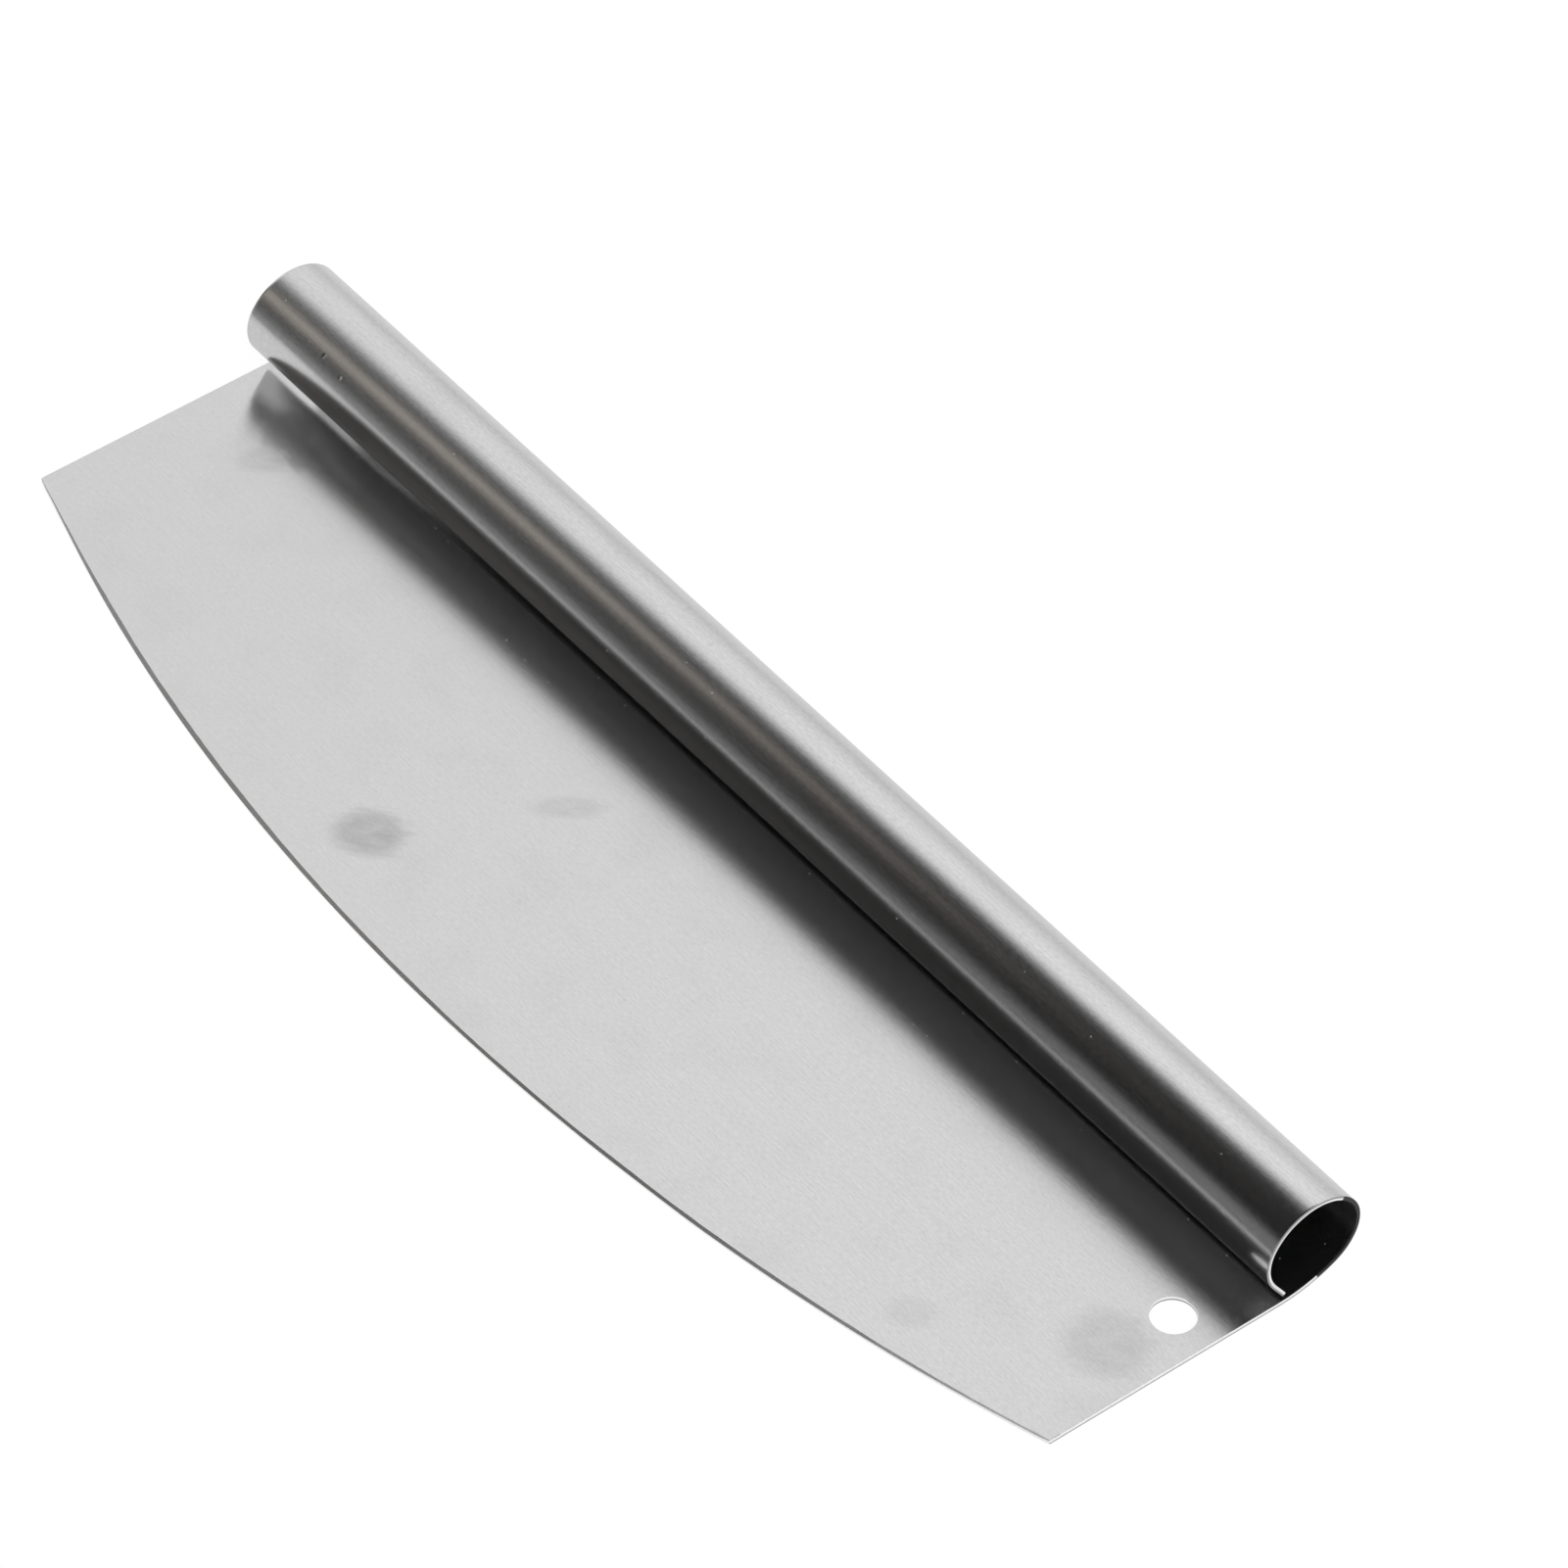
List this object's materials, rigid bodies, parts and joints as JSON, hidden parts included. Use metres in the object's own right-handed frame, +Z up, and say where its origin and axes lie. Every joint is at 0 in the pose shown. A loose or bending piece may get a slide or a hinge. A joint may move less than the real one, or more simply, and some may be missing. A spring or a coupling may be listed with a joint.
{
  "type": "rocking pizza knife",
  "caption": "One-piece sheet steel rocking knife with a bowed cutting edge, a rolled tubular grip open at both ends and a hanging hole.",
  "frame": {"origin": "middle of the knife's length and depth, on the surface that its flat back face lies on", "axes": "+X along the grip to the end with the hanging hole, +Y from the cutting edge to the grip, +Z up, away from the back face"},
  "size_m": [0.35, 0.109, 0.0255],
  "materials": {
    "stainless_steel": "fine brushed"
  },
  "bodies": {
    "root": {"rolled_blade": "stainless_steel"}
  },
  "joints": []
}
